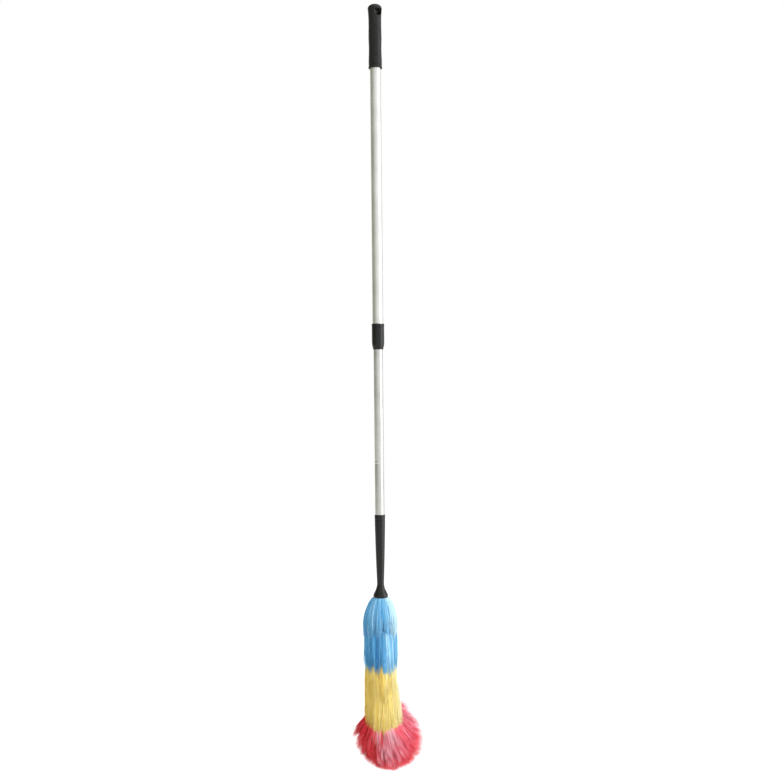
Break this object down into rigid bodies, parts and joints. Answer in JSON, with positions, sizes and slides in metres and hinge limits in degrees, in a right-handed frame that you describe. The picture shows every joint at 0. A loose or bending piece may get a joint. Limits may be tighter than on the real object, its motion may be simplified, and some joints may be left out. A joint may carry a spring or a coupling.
{
  "type": "telescopic fringe duster",
  "caption": "Hanging telescopic duster: ribbed grip with an eyelet, twist-lock aluminium pole, and a lift-off head of blue, yellow and pink synthetic fringe.",
  "frame": {"origin": "centre of the eyelet in the grip, the point the duster hangs from", "axes": "+Z along the pole towards the top of the grip, with the head hanging down along -Z; the eyelet runs through the grip along Y"},
  "size_m": [0.1402, 0.1402, 1.5466],
  "materials": {
    "black_plastic": "satin",
    "anodised_tube": "satin",
    "white_nylon": "satin",
    "core_plastic": "satin",
    "blue_fibre": "satin",
    "yellow_fibre": "satin",
    "pink_fibre": "satin",
    "binding_tape": "matte"
  },
  "bodies": {
    "outer_pole": {"hand_grip": "black_plastic", "outer_tube": "anodised_tube", "lock_base": "black_plastic", "collet_ring": "white_nylon"},
    "lock_collar": {"lock_collar": "black_plastic"},
    "guide_bush": {"guide_bush": "white_nylon"},
    "inner_pole": {"bush_plug": "white_nylon", "inner_tube": "anodised_tube"},
    "duster_head": {"head_handle": "black_plastic", "core_rod": "core_plastic", "core_cap": "core_plastic", "blue_1_fringe": "blue_fibre", "blue_2_fringe": "blue_fibre", "yellow_1_fringe": "yellow_fibre", "yellow_2_fringe": "yellow_fibre", "pink_1_fringe": "pink_fibre", "pink_2_fringe": "pink_fibre", "pink_3_fringe": "pink_fibre", "blue_1_binding": "binding_tape", "blue_2_binding": "binding_tape", "yellow_1_binding": "binding_tape", "yellow_2_binding": "binding_tape", "pink_1_binding": "binding_tape", "pink_2_binding": "binding_tape"}
  },
  "joints": [
    {"name": "collar_twist", "type": "hinge", "parent": "outer_pole", "child": "lock_collar", "pos_m": [0, 0, -0.66], "axis": [0, 0, 1], "range_deg": [0, 90]},
    {"name": "pole_slide", "type": "slide", "parent": "outer_pole", "child": "guide_bush", "axis": [0, 0, 1], "range_m": [-0.08, 0.33]},
    {"name": "pole_turn", "type": "hinge", "parent": "guide_bush", "child": "inner_pole", "pos_m": [0, 0, -0.56], "axis": [0, 0, 1], "continuous": true},
    {"name": "head_pull_off", "type": "slide", "parent": "inner_pole", "child": "duster_head", "axis": [0, 0, -1], "range_m": [0, 0.05]}
  ]
}
